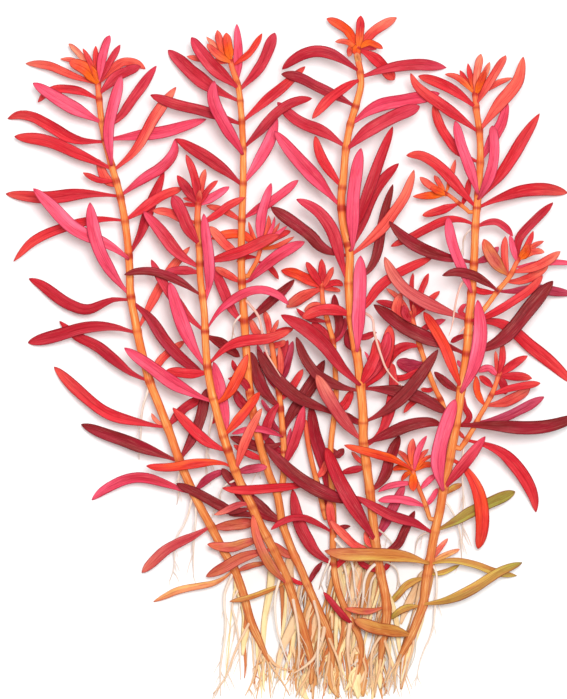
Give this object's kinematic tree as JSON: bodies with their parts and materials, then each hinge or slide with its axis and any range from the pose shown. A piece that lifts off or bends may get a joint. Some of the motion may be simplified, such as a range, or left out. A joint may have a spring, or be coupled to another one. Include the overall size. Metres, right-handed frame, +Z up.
{
  "type": "red stem plant cluster",
  "caption": "Loose clump of red aquarium stem plants, picked and laid flat, with narrow leaves in whorls up orange stems, young side shoots, and thin pale water roots from the nodes and feet",
  "frame": {"origin": "centre of the footprint, on the surface that the clump lies on", "axes": "+Y from the cut feet and roots to the growing tips, +X to the right seen from above, +Z up"},
  "size_m": [0.1264, 0.1508, 0.0229],
  "materials": {
    "shoot": "satin",
    "leaf_pink": "satin",
    "leaf_red": "satin",
    "leaf_maroon": "satin",
    "leaf_orange": "satin",
    "leaf_ochre": "satin",
    "root": "matt"
  },
  "bodies": {
    "root": {"stem_a": "shoot", "stem_b": "shoot", "stem_c": "shoot", "stem_d": "shoot", "stem_e": "shoot", "stem_i": "shoot", "stem_s": "shoot", "stem_p": "shoot", "stem_j": "shoot", "stem_k": "shoot", "stem_d1": "shoot", "stem_d2": "shoot", "stem_d3": "shoot", "stem_d4": "shoot", "leaf_p_1": "leaf_pink", "leaf_a_3": "leaf_red", "leaf_a_4": "leaf_pink", "leaf_a_5": "leaf_red", "leaf_a_6": "leaf_red", "leaf_a_7": "leaf_red", "leaf_a_8": "leaf_maroon", "leaf_a_9": "leaf_pink", "leaf_a_11": "leaf_pink", "leaf_a_12": "leaf_pink", "leaf_b_1": "leaf_pink", "leaf_b_2": "leaf_red", "leaf_b_5": "leaf_pink", "leaf_c_3": "leaf_maroon", "leaf_c_4": "leaf_red", "leaf_c_5": "leaf_pink", "leaf_c_8": "leaf_maroon", "leaf_c_9": "leaf_maroon", "leaf_c_11": "leaf_red", "leaf_c_12": "leaf_red", "leaf_c_13": "leaf_pink", "leaf_c_14": "leaf_pink", "leaf_e_5": "leaf_red", "leaf_e_6": "leaf_red", "leaf_e_7": "leaf_pink", "leaf_e_8": "leaf_red", "leaf_e_9": "leaf_pink", "leaf_e_10": "leaf_pink", "leaf_e_11": "leaf_pink", "leaf_e_12": "leaf_pink", "leaf_d_12": "leaf_maroon", "leaf_d_23": "leaf_red", "leaf_d_4": "leaf_red", "leaf_d_6": "leaf_maroon", "leaf_d_7": "leaf_red", "leaf_d_8": "leaf_maroon", "leaf_d_10": "leaf_red", "leaf_d_11": "leaf_maroon", "leaf_d_13": "leaf_maroon", "leaf_d_16": "leaf_ochre", "leaf_d_17": "leaf_pink", "leaf_d_18": "leaf_pink", "leaf_d_19": "leaf_pink", "leaf_d_20": "leaf_pink", "leaf_d_21": "leaf_pink", "leaf_d_22": "leaf_red"}
  },
  "joints": []
}
